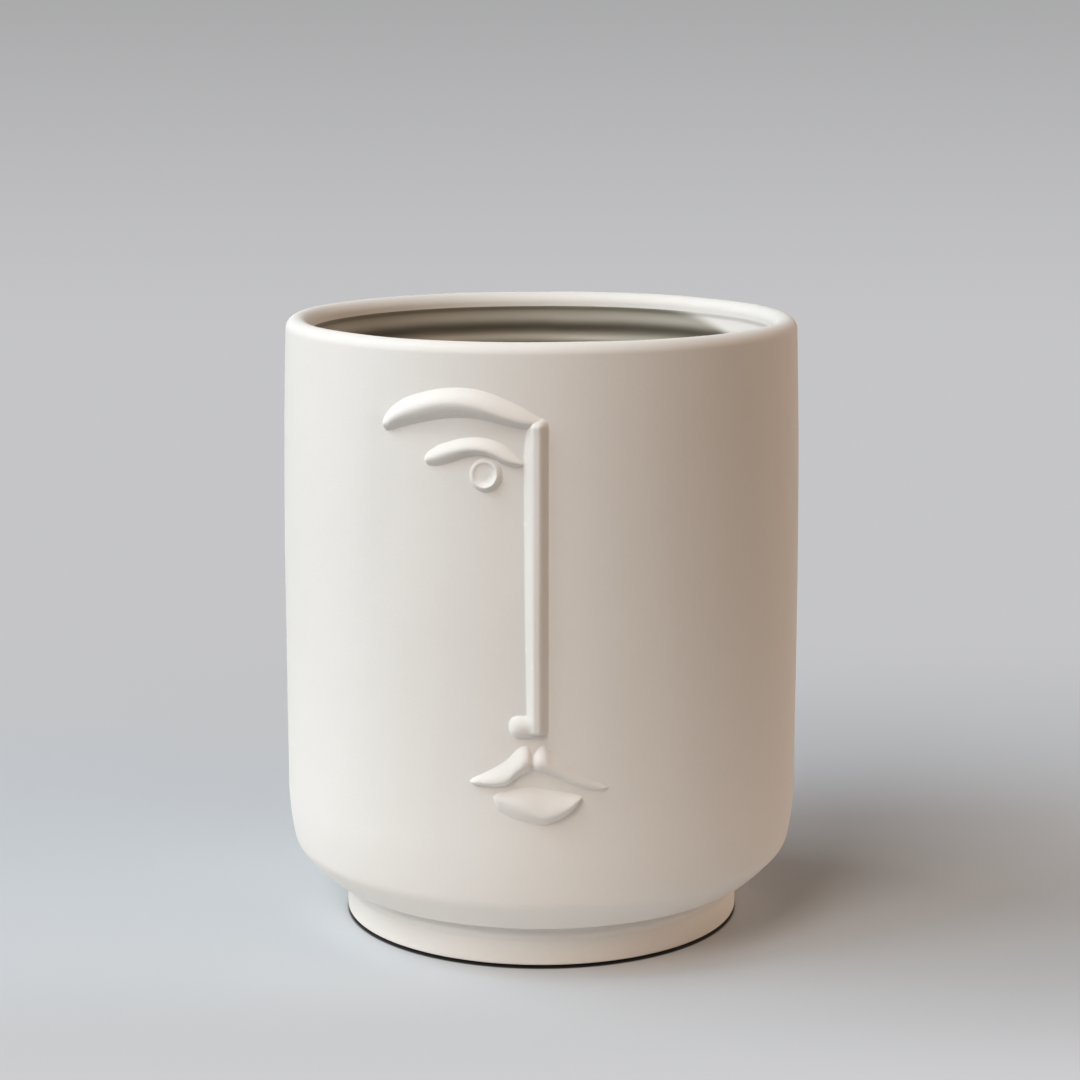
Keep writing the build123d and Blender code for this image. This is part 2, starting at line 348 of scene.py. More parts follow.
def clay_finish(name, tones, wear_and_shade, roughness, bump_strength, bump_height):
    """A ceramic surface. The groups give its colours and masks, and the shader stays here."""
    material = bpy.data.materials.new(name)
    material.use_nodes = True
    tree = material.node_tree
    shader = tree.nodes["Principled BSDF"]
    tone = add(tree, "ShaderNodeGroup", {"node_tree": fired})
    wear_and_light = add(tree, "ShaderNodeGroup", {"node_tree": edge_crease_group})
    for group, values in ((tone, tones), (wear_and_light, wear_and_shade)):
        for label, value in values.items():
            feed(tree, group.inputs[label], value)
    feed(tree, wear_and_light.inputs["Color"], tone.outputs["Color"])
    feed(tree, shader.inputs["Base Color"], wear_and_light.outputs["Color"])
    dry = remap(tree, tone.outputs["Tooth"], TOOTH_LOW, TOOTH_HIGH, *roughness)
    feed(tree, shader.inputs["Roughness"], dry)
    relief = add(tree, "ShaderNodeBump", None, {"Strength": bump_strength, "Distance": bump_height * MM})
    feed(tree, relief.inputs["Height"], tone.outputs["Height"])
    feed(tree, shader.inputs["Normal"], relief.outputs["Normal"])
    return material, shader


# %% The two ceramic finishes
# In each finish the Crease colour is painted shade, and the Edge colour is partly rubbing and partly painted
# highlight.
bare, bare_shader = clay_finish(
    "bare_clay",
    {"Clay": (0.845, 0.836, 0.815), "Shade": (0.778, 0.760, 0.731),
     "Cloud strength": 0.35, "Tooth strength": 0.35},
    {"Edge": (0.90, 0.89, 0.875), "Crease": (0.55, 0.47, 0.40),
     "Edge strength": 0.5, "Crease strength": 0.5},
    roughness=(0.62, 0.82), bump_strength=0.35, bump_height=0.18)
bare_shader.inputs["Specular IOR Level"].default_value = 0.35
# The glaze colours are dark so that they stand for the deep shade inside the pot: painted shade.
glaze, glaze_shader = clay_finish(
    "satin_glaze",
    {"Clay": (0.43, 0.405, 0.345), "Shade": (0.36, 0.335, 0.275),
     "Cloud strength": 0.4, "Tooth strength": 0.2},
    {"Edge": (0.48, 0.45, 0.385), "Crease": (0.24, 0.21, 0.16),
     "Edge strength": 0.4, "Crease strength": 0.4},
    roughness=(0.34, 0.46), bump_strength=0.15, bump_height=0.2)
glaze_shader.inputs["Coat Weight"].default_value = 0.25
glaze_shader.inputs["Coat Roughness"].default_value = 0.22
print("materials:", bare.name, glaze.name)

# %% [markdown]
# ## Painted light and shade inside the mouth
#
# Inside the mouth on the right the pot has a pale patch with a soft slanting edge, up to nine millimetres
# deep, where light falls on the inner wall over the rim: it is painted light. This is colour only: the mesh
# of the lining ends level all round. Just under the crest of each ring there is a dark band, where the ring
# turns away from the light. The shape of the rings gives part of that shade and a darker painted colour
# gives the rest: faint at the mouth, full by five millimetres down, and fading out below ten. An image
# painted by hand could hold both, but nodes that read the height and the direction can be set in
# millimetres and degrees.

# %% Sizes of the patch and the bands
# Directions are in degrees from the front, positive to the right. Depths are in millimetres. The patch
# starts at 15 and at 152 degrees and is at its full depth from 60 to 100.
LIT_PATCH_DEPTH = 9.0
LIT_PATCH_FRONT, LIT_PATCH_BACK = (15, 60), (152, 100)
EDGE_WAVER, WAVERS_PER_M = 1.2, 34
EDGE_ABOVE, EDGE_BELOW = -1.6, 1.2
BAND_PITCH, BAND_STARTS = 5.2, 0.8
BAND_FAINT, BAND_FULL_AT = 0.35, 5.0
BAND_FADES_FROM, BAND_GONE_AT = 10.0, 27.0
BAND_SHARE = 0.92
# The patch colour is painted light, and the band colour is painted shade.
LIT_PATCH_COLOUR, RING_SHADE_COLOUR = (0.86, 0.845, 0.82), (0.08, 0.07, 0.05)


# %% Painted light patch and painted ring shade on the glaze
def lit_patch_edge(tree, down, azimuth):
    """1 where the dark glaze colour lies, 0 in the pale patch that is painted light on the inner wall."""
    from_back = fade(tree, azimuth, *(radians(turn) for turn in LIT_PATCH_BACK), full=LIT_PATCH_DEPTH * MM)
    from_front = fade(tree, azimuth, *(radians(turn) for turn in LIT_PATCH_FRONT))
    margin = product(tree, from_back, from_front)
    return fade(tree, math_node(tree, "SUBTRACT", down, margin), EDGE_ABOVE * MM, EDGE_BELOW * MM)


def painted_ring_shade(tree, down):
    """Painted shade under the rings: 1 in the middle of a band, 0 between two, weaker at the mouth and fading
    out further down.
    """
    turns = math_node(tree, "SUBTRACT", down, BAND_STARTS * MM)
    turns = product(tree, turns, 2 * pi / (BAND_PITCH * MM))
    band = product(tree, math_node(tree, "COSINE", turns), 0.5)
    band = math_node(tree, "ADD", band, 0.5)
    growing = remap(tree, down, 0.0, BAND_FULL_AT * MM, low=BAND_FAINT)
    ending = fade(tree, down, BAND_GONE_AT * MM, BAND_FADES_FROM * MM)
    return product(tree, band, growing, ending)


tree = glaze.node_tree
place, x, y, z = object_place(tree)
waver = product(tree, noise_at(tree, place, scale=WAVERS_PER_M, detail=2), EDGE_WAVER * MM)
down = math_node(tree, "ADD", math_node(tree, "SUBTRACT", GLAZE_TOP * MM, z), waver)
azimuth = math_node(tree, "ARCTAN2", x, product(tree, y, -1.0))
outside_lit_patch = lit_patch_edge(tree, down, azimuth)
ring_shade = product(tree, painted_ring_shade(tree, down), outside_lit_patch, BAND_SHARE)
even_glaze = glaze_shader.inputs["Base Color"].links[0].from_socket
coat = blend(tree, outside_lit_patch, LIT_PATCH_COLOUR, even_glaze)
feed(tree, glaze_shader.inputs["Base Color"], blend(tree, ring_shade, coat, RING_SHADE_COLOUR))
# The pale patch is painted light, and the bands are painted shade.
print("the glaze sinks by up to", LIT_PATCH_DEPTH, "mm, bands every", BAND_PITCH, "mm")

# %% [markdown]
# ## From bmesh to a piece
#
# Every finished mesh is handed over in the same way. It rides on the pot's one body, the solid whose place
# it takes is hidden, and it gets its finish as a material. All faces are shaded smooth. On the turned pieces
# the sharp corners stay sharp, because a square corner that is smoothed over shows up as a false dark or
# pale line.

# %% Hand a mesh over
TURNED_CORNER = 42


def hand_over(name, bm, finish, node, corner=180):
    """Makes the object, and hides the solid that it stands for. Corners over so many degrees stay sharp."""
    mesh = bpy.data.meshes.new(name)
    bm.to_mesh(mesh)
    bm.free()
    mesh.shade_smooth()
    mesh.set_sharp_from_angle(angle=radians(corner))
    mesh.materials.append(finish)
    piece = bpy.data.objects.new(name, mesh)
    scene.collection.objects.link(piece)
    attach(piece, "root")
    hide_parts(node)
    print(name, len(mesh.polygons), "faces")


# %% [markdown]
# ## The pot's wall and floor
#
# The wall is one closed profile: down the outside, through the belly, the shoulder, the bevel and the round
# under it, in along the underside, up through the drain hole, and back over the floor and up the inside to
# the lip. A cylinder with bevelled edges would come near it, but a spun profile has even faces all the way
# round, and soft light shows each uneven one.

# %% Turn the wall
def corner_drop():
    """Height of the belly, shoulder, bevel and rounded edge together."""
    drop = reached = 0
    for radius, turn in CORNER:
        drop += radius * (sin(radians(turn)) - sin(radians(reached)))
        reached = turn
    return drop


DRAWN_ROWS = 66
pen = Pen(RIM_R - LIP_R, POT_H, 0).arc(LIP_R, -90, step=0.3)
for z in np.linspace(LIP_Z, DRAW_Z, DRAWN_ROWS)[1:]:
    pen.points.append((float(wall_radius(z)), float(z)))
pen.heading = -pi / 2
pen.to(BODY_R, FOOT_H + corner_drop())
reached = 0
for radius, turn in CORNER:
    pen.arc(radius, reached - turn, step=0.6)
    reached = turn
pen.to(DRAIN_R + CHAMFER, FOOT_H, step=5).to(DRAIN_R, FOOT_H + CHAMFER)
pen.to(DRAIN_R, FLOOR_Z - CHAMFER, step=3).to(DRAIN_R + CHAMFER, FLOOR_Z)
pen.to(CAVITY_R - CAVITY_FILLET, FLOOR_Z, step=7)
pen.heading = 0
pen.arc(CAVITY_FILLET, 90, step=3).to(CAVITY_R, GLAZE_TOP, step=10)
pen.to(MOUTH_R, GLAZE_TOP).to(MOUTH_R, LIP_Z)
pen.heading = pi / 2
pen.arc(LIP_R, -90, step=0.3)
pen.points.pop()
wall_bm = turned(pen.points)
print("wall profile:", len(pen.points), "points")

# %% [markdown]
# ## The hand's work on the turned pieces
#
# After the spin each vertex of the outside is pushed in or out by the wall's unevenness, which starts low on
# the corner and is full three centimetres further up. The lip gets the slow wave that a sponge leaves. Both
# could be left to a bump in the material, but the lip's outline shows against the dark inside. The lining
# goes through the same function, so that its top stays with the lip.

# %% Finish by hand
# The lip's waves: how high, how many round the pot, and where they start. The lip is lowered by more than
# all of them together.
LIP_WAVES = [(0.07, 3, 0.4), (0.04, 7, 1.3), (0.02, 13, 0)]
LIP_LOWERED = 0.15
LIP_STARTS, LIP_RUN = 3, 5
UNEVEN_FROM, UNEVEN_RUN = 4, 30
MOUTH_SHARE = 0.6


def finish_by_hand(bm):
    """Gives a turned mesh the wall's unevenness outside and the slow wave of the lip."""
    places = np.array([v.co for v in bm.verts]) / MM
    radii = np.hypot(places[:, 0], places[:, 1])
    angles = np.arctan2(places[:, 0], -places[:, 1])
    heights = places[:, 2]
    outer = ease((radii - MOUTH_R) / LIP_R)
    upper = ease((heights - FOOT_H - UNEVEN_FROM) / UNEVEN_RUN)
    uneven = wall_offset(angles * wall_radius(heights), heights)
    lip = ease((heights - LIP_Z + LIP_STARTS) / LIP_RUN) * (radii > MOUTH_R - 1)
    wave = sum(high * np.sin(count * angles + start) for high, count, start in LIP_WAVES)
    push = outer * np.where(upper > 0, upper * uneven - (1 - upper) * SLACK, 0)
    push = push + MOUTH_SHARE * lip * wave * (1 - outer)
    scales = (radii + push) / np.maximum(radii, 1)
    heights = heights - lip * (LIP_LOWERED - wave)
    for v, x, y, z in zip(bm.verts, places[:, 0] * scales, places[:, 1] * scales, heights):
        v.co = Vector((x, y, z)) * MM


finish_by_hand(wall_bm)
hand_over("clay_wall", wall_bm, bare, "pot_body", TURNED_CORNER)

# %% [markdown]
# ## The foot ring
#
# The ring is turned on its own. Where it was pressed to the pot a thin bead of slip came out and was wiped
# round, which is the fine line just under the body, and the wiping left the side a little hollow below it.
# The outer edge stops 0.8 mm over the table and the ring stands on a narrower face: that step is how the
# hard dark line under the pot is read. The ring could be part of the wall's profile, but as a piece of its
# own it keeps the seam.

# %% Turn the foot
FOOT_R, FOOT_IN = 49.2, 43.0
ROUND_OUT, ROUND_IN = 0.5, 1.0
STEP_H, STAND_R = 0.8, 46.4
BEAD_Z, BEAD_HALF, BEAD_OUT = 8.5, 2.4 / 2.6, 0.35
WIPED, WIPED_DEPTH = (5.5, 1.2, 8.2, 1.2), 0.12
SIDE_ROWS = 24
pen = Pen(FOOT_IN, FOOT_H, 0).to(FOOT_R, FOOT_H, step=3)
for i in range(1, SIDE_ROWS + 1):
    z = FOOT_H - (FOOT_H - STEP_H - ROUND_OUT) * i / SIDE_ROWS
    bead = BEAD_OUT * np.exp(-((z - BEAD_Z) / BEAD_HALF) ** 2)
    pen.points.append((FOOT_R + bead - WIPED_DEPTH * float(plateau(z, *WIPED)), z))
pen.heading = -pi / 2
pen.arc(ROUND_OUT, -90, step=0.1).to(STAND_R, STEP_H, step=0.4)
pen.to(STAND_R, 0, step=0.2).to(FOOT_IN + ROUND_IN, 0, step=0.4)
pen.heading = pi
pen.arc(ROUND_IN, -90, step=0.25).to(FOOT_IN, FOOT_H, step=2)
pen.points.pop()
hand_over("foot_clay", turned(pen.points), bare, "foot_ring", TURNED_CORNER)

# %% [markdown]
# ## The glazed lining
#
# Inside, a thin satin glaze lies over the rings that a rib left in the soft clay near the mouth. They are
# five millimetres apart and 0.4 mm deep. The topmost is shallower and closes quickly, where the glaze ends
# under the lip. Below the fifth ring the glaze is smooth, and round the drain hole it is wiped off. A
# Solidify modifier could lay a coat on the wall, but it would need the rings in the wall too, so the lining
# is a closed profile of its own.

# %% Turn the lining
RING_PITCH, RING_D, RINGS = 5.0, 0.42, 5
RING_NARROWED = 1.3
TOP_RING, TOP_RING_CLOSES = 0.8, 0.25
RING_ROWS = 75
WIPED_OFF = 2.0
bare_margin = DRAIN_R + CHAMFER + WIPED_OFF
rings_foot = GLAZE_TOP - RINGS * RING_PITCH
pen = Pen(CAVITY_R, GLAZE_TOP, -90).to(CAVITY_R, FLOOR_Z + CAVITY_FILLET, step=10)
pen.arc(CAVITY_FILLET, -90, step=2).to(bare_margin, FLOOR_Z, step=7).to(bare_margin, FLOOR_Z + GLAZE)
pen.to(CAVITY_R - CAVITY_FILLET, FLOOR_Z + GLAZE, step=4)
pen.heading = 0
pen.arc(CAVITY_FILLET - GLAZE, 90, step=1).to(MOUTH_R, rings_foot, step=4)
for i in range(1, RING_ROWS + 1):
    z = rings_foot + (GLAZE_TOP - rings_foot) * i / RING_ROWS
    phase = (z - rings_foot) / RING_PITCH
    groove = RING_D * (0.5 - 0.5 * cos(2 * pi * phase)) ** RING_NARROWED
    if phase > RINGS - 1:
        groove = TOP_RING * RING_D * float(plateau(phase, RINGS - 1, 1, RINGS, TOP_RING_CLOSES))
    pen.points.append((MOUTH_R + groove, z))
lining_bm = turned(pen.points)
finish_by_hand(lining_bm)
hand_over("lining_glaze", lining_bm, glaze, "glaze_lining", TURNED_CORNER)

# %% [markdown]
# ## Relief that grows out of the wall
#
# The face is low relief: strips of clay about two millimetres thick, laid on and worked in with a wet tool.
# It could be sculpted, which leaves no sizes to correct, or cut from blocks with Booleans, which leaves hard
# seams. Here each piece starts as a flat grid that is laid on the wall. One direction of the grid runs along
# the piece, the other across it, and a short table says where its foot, crest and top are and how far it
# stands up. The upper side is soft and runs out into the wall. The lower side leaves the wall more steeply
# and lies in shade. The grid's rim dips a little under the wall and is then drawn further in and closed, so
# that each piece is a solid lump like the real one and not a loose sheet.

# %% Smooth lines through the table
def through(places, values, at):
    """A smooth curve through the values, held at the first and last value outside the places."""
    places, values = np.array(places, float), np.array(values, float)
    slopes = np.diff(values) / np.diff(places)
    left, right = np.diff(places)[:-1], np.diff(places)[1:]
    inner = (slopes[:-1] * right + slopes[1:] * left) / (left + right)
    tangents = np.concatenate([[slopes[0]], inner, [slopes[-1]]])
    at = np.clip(at, places[0], places[-1])
    i = np.clip(np.searchsorted(places, at, side="right") - 1, 0, len(places) - 2)
    span = places[i + 1] - places[i]
    t = (at - places[i]) / span
    from_left = (2 * t**3 - 3 * t**2 + 1) * values[i] + (t**3 - 2 * t**2 + t) * tangents[i] * span
    from_right = (3 * t**2 - 2 * t**3) * values[i + 1] + (t**3 - t**2) * tangents[i + 1] * span
    return from_left + from_right


# %% A grid laid on the wall
SINK = 0.3
BACK = 1.2


def relief_grid(shape, columns, rows):
    """A grid laid on the wall by shape(u, w), closed behind the wall's surface."""
    bm = bmesh.new()
    bmesh.ops.create_grid(bm, x_segments=columns, y_segments=rows, size=1)
    u = np.array([v.co.x for v in bm.verts]) * 0.5 + 0.5
    w = np.array([v.co.y for v in bm.verts]) * 0.5 + 0.5
    around, z, rise = shape(u, w)
    for v, point in zip(bm.verts, on_wall(around, z, rise)):
        v.co = point
    rim = [e for e in bm.edges if e.is_boundary]
    grown = bmesh.ops.extrude_edge_only(bm, edges=rim)["geom"]
    for v in (g for g in grown if isinstance(g, bmesh.types.BMVert)):
        inward = Vector((v.co.x, v.co.y, 0)).normalized()
        v.co -= inward * BACK * MM
    back = [e for e in bm.edges if e.is_boundary]
    bmesh.ops.holes_fill(bm, edges=back, sides=0)
    bmesh.ops.recalc_face_normals(bm, faces=bm.faces)
    return bm


# %% A strip of clay from its table
ROWS_BELOW = 0.45
CLOSER_AT_ENDS = 0.65


def slope(t, start):
    """From 0 to 1: leaves the foot at the given steepness and is level at the crest."""
    t = np.clip(t, 0, 1)
    return t * t * (3 - 2 * t) + start * t * (1 - t) ** 2


def strip(table, upper_start, lower_start):
    """The shape of a piece that runs round the wall, and how steeply its two sides leave the wall."""
    places = [row[0] for row in table]

    def shape(u, w):
        spread = 0.5 - 0.5 * np.cos(np.pi * u)
        share = CLOSER_AT_ENDS * spread + (1 - CLOSER_AT_ENDS) * u
        around = places[0] + (places[-1] - places[0]) * share
        top, crest, foot, rise = (through(places, [row[k] for row in table], around) for k in (1, 2, 3, 4))
        below = w / ROWS_BELOW
        above = (1 - w) / (1 - ROWS_BELOW)
        z = np.where(w < ROWS_BELOW, foot + (crest - foot) * below, top + (crest - top) * above)
        profile = np.where(w < ROWS_BELOW, slope(below, lower_start), slope(above, upper_start))
        return around, z, -SINK + (rise + SINK) * profile

    return shape


# %% [markdown]
# ## Brow and eyelid
#
# Both are crescents. The brow starts in a rounded tip at the temple, rises over the eye and falls to the
# bridge of the nose, where it runs in under the ridge. The eyelid does the same in small. A bent tube would
# give a crescent too, but it would be round, and these have a soft side and a steeper one. The tables are in
# millimetres, with the place round the wall counted from the middle of the face.

# %% Brow
BROW = [
    # around, top, crest, foot, rise
    (-38.7, 131.6, 130.9, 130.2, -0.2),
    (-38.0, 133.0, 130.9, 129.3, 0.7),
    (-36.5, 135.0, 131.3, 129.2, 1.4),
    (-33.5, 137.3, 133.1, 130.1, 1.8),
    (-28.0, 139.4, 135.3, 131.5, 2.0),
    (-21.0, 140.8, 136.8, 132.9, 2.1),
    (-14.0, 140.6, 136.2, 133.0, 2.1),
    (-8.0, 138.7, 134.2, 131.8, 1.9),
    (-3.5, 136.5, 132.8, 131.0, 1.5),
    (0.0, 134.2, 132.5, 131.2, 0.7),
]
brow_shape = strip(BROW, upper_start=0.35, lower_start=1.3)
hand_over("brow_clay", relief_grid(brow_shape, columns=240, rows=48), bare, "brow")

# %% Eyelid
LID = [
    # around, top, crest, foot, rise
    (-27.6, 124.1, 123.5, 122.9, -0.2),
    (-27.0, 125.2, 123.6, 122.3, 0.6),
    (-25.0, 127.0, 124.2, 121.9, 1.2),
    (-20.8, 128.7, 125.7, 122.8, 1.6),
    (-16.0, 129.7, 126.7, 124.7, 1.7),
    (-11.5, 129.4, 126.2, 124.6, 1.7),
    (-8.0, 128.0, 124.6, 122.9, 1.6),
    (-5.5, 125.6, 123.7, 122.4, 1.2),
    (-4.4, 124.5, 123.4, 122.6, 0.6),
    (-3.8, 123.8, 123.3, 122.9, -0.1),
]
lid_shape = strip(LID, upper_start=0.4, lower_start=1.35)
hand_over("eyelid_clay", relief_grid(lid_shape, columns=180, rows=40), bare, "eyelid")

# %% [markdown]
# ## Iris
#
# A round button pressed in with the end of a dowel, which leaves a rim and a shallow dish. The dish lies up
# and to the left, and the rim is fuller and higher low on the right. Spun like the pot it would be the same
# all round, so it is the same closed grid as the strips, with its square pulled out to a circle and the rise
# read from the distance to its middle.

# %% Iris
IRIS_AROUND, IRIS_Z = -12.45, 120.45
IRIS_OUT, IRIS_FLOOR = 4.5, 0.12
# The rim's crest, its height, its outer edge and how late the dish rises: each in the middle, and what the
# low right side adds.
IRIS_RIM = [(2.75, -0.55), (0.86, 0.44), (4.15, -0.25), (4.2, -2.0)]
TUCK_STARTS, TUCK_RUN = 0.5, 0.6


def iris_shape(u, w):
    """A round patch. The value low runs from -1 at the high left to 1 at the low right."""
    x, y = 2 * u - 1, 2 * w - 1
    square = np.maximum(np.abs(x), np.abs(y))
    length = np.maximum(np.hypot(x, y), 1e-6)
    x, y = x / length, y / length
    r = IRIS_OUT * square
    low = (x - y) / 2**0.5
    crest, height, edge, late = (middle + more * low for middle, more in IRIS_RIM)
    bowl = IRIS_FLOOR + (height - IRIS_FLOOR) * np.clip(r / crest, 0, 1) ** late
    outer = height * ease((edge - r) / (edge - crest)) - SINK * ease((r - edge + TUCK_STARTS) / TUCK_RUN)
    return IRIS_AROUND + r * x, IRIS_Z + r * y, np.where(r < crest, bowl, outer)


hand_over("iris_clay", relief_grid(iris_shape, columns=72, rows=72), bare, "iris")

# %% [markdown]
# ## Nose
#
# The nose is one long ridge. Its two flanks are about three millimetres wide and meet in a narrow crest, a
# little left of the middle. The left flank catches the light and the right one lies in shade. At the top it
# is rounded off on the left, where the brow comes in. The nostril is a small rounded dome, run into the foot
# of the ridge. The two could be separate pieces, but their rises are joined with a smooth maximum, which
# leaves the little fillet that a wet finger would.

# %% Nose and nostril
# The ridge's left edge: heights, and the place round the wall at each.
NOSE_EDGE = ([60, 66, 97, 120, 127, 131, 134.5],
             [-3.5, -3.6, -4.1, -4.3, -4.2, -3.5, -2.4])
NOSE_FOOT, FOOT_RUN, NOSE_TOP, TOP_RUN = 60.7, 1.5, 134.4, 2.8
LEFT_BEYOND, LEFT_REACH = 0.4, -1.1
RIGHT_EDGE, RIGHT_RUN = 2.35, 3.05
NOSE_RISE, NOSTRIL_RISE = 2.25, 1.95
NOSTRIL_AROUND, NOSTRIL_Z = -4.6, 63.1
NOSTRIL_W, NOSTRIL_H = 3.2, 3.0
SQUARENESS, DOME_EDGE, DOME_FULLNESS = 2.6, 0.92, 0.7
NOSTRIL_ENDS, NOSTRIL_RUN = -0.6, 1.8
FILLET, FILLET_TAKEN_BACK = 0.6, 0.2
PATCH_Z, PATCH_H, PATCH_AROUND, PATCH_W = 58.8, 77.6, -9.2, 12.0


def smooth_max(a, b, width):
    """The larger of two heights, with a fillet where they cross."""
    return 0.5 * (a + b + np.sqrt((a - b) ** 2 + width**2))


def nose_shape(u, w):
    """Rise over a patch that holds the ridge and the nostril."""
    z = PATCH_Z + PATCH_H * u
    around = PATCH_AROUND + PATCH_W * (1 - w)
    edge = through(*NOSE_EDGE, z)
    left = ease((around - edge + LEFT_BEYOND) / (LEFT_REACH - edge))
    right = ease((RIGHT_EDGE - around) / RIGHT_RUN)
    ends = plateau(z, NOSE_FOOT, FOOT_RUN, NOSE_TOP, TOP_RUN)
    ridge = -SINK + (NOSE_RISE + SINK) * left * right * ends
    across = np.minimum(around - NOSTRIL_AROUND, 0) / NOSTRIL_W
    up = (z - NOSTRIL_Z) / NOSTRIL_H
    out = (np.abs(across) ** SQUARENESS + np.abs(up) ** SQUARENESS) ** (1 / SQUARENESS)
    dome = np.clip(1 - (out / DOME_EDGE) ** 2, 0, 1) ** DOME_FULLNESS
    nostril = -SINK + (NOSTRIL_RISE + SINK) * dome * ease((NOSTRIL_ENDS - around) / NOSTRIL_RUN)
    return around, z, smooth_max(ridge, nostril, FILLET) - FILLET_TAKEN_BACK


hand_over("nose_clay", relief_grid(nose_shape, columns=330, rows=60), bare, "nose")

# %% [markdown]
# ## Lips
#
# The upper lip is two lobes with a groove pressed between them, and it ends in thin corners. The lower one
# is a bowl, fuller at the bottom. They don't touch: the dark line between them is a real gap. One strip with
# a cut along it would be quicker, but its two edges would run side by side, and here each lip has an outline
# of its own. Their tables have more rows where an outline turns quickly.

# %% Upper lip
UPPER = [
    # around, top, crest, foot, rise
    (-16.8, 50.0, 49.8, 49.6, -0.2),
    (-16.2, 50.6, 49.8, 49.2, 0.5),
    (-13.5, 52.4, 49.9, 48.7, 1.1),
    (-10.2, 54.5, 50.3, 48.6, 1.6),
    (-7.5, 56.7, 51.2, 49.2, 1.8),
    (-5.6, 58.7, 53.2, 50.8, 1.9),
    (-3.9, 59.5, 54.6, 51.7, 2.0),
    (-2.9, 59.2, 55.0, 52.0, 1.7),
    (-1.9, 57.2, 54.7, 52.4, 0.8),
    (-0.9, 58.6, 55.0, 52.3, 1.5),
    (0.9, 59.5, 54.8, 51.9, 1.8),
    (2.2, 58.3, 53.9, 51.4, 1.6),
    (5.15, 56.1, 52.2, 50.1, 1.3),
    (8.15, 53.4, 50.5, 48.8, 1.1),
    (11.4, 51.2, 49.2, 47.8, 0.8),
    (14.8, 49.3, 48.4, 47.8, 0.45),
    (16.0, 48.7, 48.4, 48.1, -0.2),
]
upper_shape = strip(UPPER, upper_start=0.45, lower_start=1.9)
hand_over("upper_lip_clay", relief_grid(upper_shape, columns=240, rows=44), bare, "upper_lip")

# %% Lower lip
LOWER = [
    # around, top, crest, foot, rise
    (-11.4, 46.8, 46.4, 45.6, -0.2),
    (-10.7, 47.6, 46.0, 43.8, 0.3),
    (-8.0, 48.6, 45.2, 41.4, 0.9),
    (-5.0, 49.6, 44.6, 40.4, 1.5),
    (-2.0, 50.2, 43.3, 39.9, 1.8),
    (0.5, 49.7, 42.5, 39.7, 1.95),
    (3.0, 49.2, 43.0, 40.4, 2.0),
    (5.6, 48.4, 44.0, 41.8, 1.9),
    (7.8, 47.6, 45.5, 43.8, 1.5),
    (8.9, 47.1, 46.2, 45.3, 0.8),
    (9.5, 46.8, 46.6, 46.1, -0.2),
]
lower_shape = strip(LOWER, upper_start=0.45, lower_start=1.5)
hand_over("lower_lip_clay", relief_grid(lower_shape, columns=200, rows=44), bare, "lower_lip")

# %% [markdown]
# ## The table and its backdrop
#
# A sheet of pale paper that curves up behind the pot, so that there is no line between table and wall. Near
# the pot the camera sees paper that is lit by the lamps and keeps the pot's shadow. Further back and further
# in front it sees a plain pale tone instead, a glow that is paler in front and darker where the sheet has
# risen, as painted light and shade, and that tone sheds no light on the pot. Lighting the whole sheet evenly
# would take lamps of its own, and they would reach the pot.
#
# What the paper gives back to the pot is set apart from what the camera sees: close to the pot a paler tone,
# and thirty centimetres away very little. With one tone for both, the undersides of the face come out too
# bright. Under the pot, and half a millimetre past the foot's edge, the paper is painted nearly black: a
# painted contact shadow, which makes the hard dark line of a standing pot. All this belongs to the stage
# and not to the pot.

# %% Which rays see the stage as the camera does
def camera_rays(tree):
    """1 for rays from the camera, and for rays that come by way of gloss or glass."""
    path = add(tree, "ShaderNodeLightPath")
    seen = math_node(tree, "MAXIMUM", path.outputs["Is Camera Ray"], path.outputs["Is Glossy Ray"])
    return math_node(tree, "MAXIMUM", seen, path.outputs["Is Transmission Ray"])


def choose(tree, factor, a, b, ending):
    """Mixes two shaders and links the mix to the tree's last node."""
    mixed = add(tree, "ShaderNodeMixShader")
    for socket, value in zip(mixed.inputs, (factor, a, b)):
        tree.links.new(value, socket)
    tree.links.new(mixed.outputs["Shader"], tree.nodes[ending].inputs["Surface"])


# %% Tones of the paper, and where they hold
PAPER_ROUGHNESS = 0.9
PLAIN_LOW, PLAIN_HIGH, PLAIN_IN_FRONT = (0.560, 0.560, 0.572), (0.40, 0.40, 0.406), (0.615, 0.615, 0.63)
SHOWN, GIVEN_BACK, GIVEN_BACK_AFAR = (0.565, 0.595, 0.63), (0.76, 0.755, 0.75), (0.10, 0.10, 0.10)
# Painted contact shadow: the paper's colour under the pot and just past the foot.
CONTACT_SHADOW_COLOUR = (0.03, 0.03, 0.03)
# In metres: up the sheet, behind the pot's axis, in front of it, and away from it on every side.
RISEN = 0.26
PLAIN_BEHIND_FROM, PLAIN_BEHIND_AT = 0.0, 0.32
PLAIN_FRONT_FROM, PLAIN_FRONT_AT = -0.05, -0.125
AFAR_FROM, AFAR_AT = 0.11, 0.30
DARK_TO, PALE_FROM = (FOOT_R - 0.3) * MM, (FOOT_R + 0.5) * MM

# %% Paper
paper = bpy.data.materials.new("pale_paper")
paper.use_nodes = True
tree = paper.node_tree
paper_shader = tree.nodes["Principled BSDF"]
paper_shader.inputs["Roughness"].default_value = PAPER_ROUGHNESS
place, _, y, z = object_place(tree)
seen = camera_rays(tree)
behind = fade(tree, y, PLAIN_BEHIND_FROM, PLAIN_BEHIND_AT)
in_front = fade(tree, y, PLAIN_FRONT_FROM, PLAIN_FRONT_AT)
plain = math_node(tree, "MAXIMUM", behind, in_front)
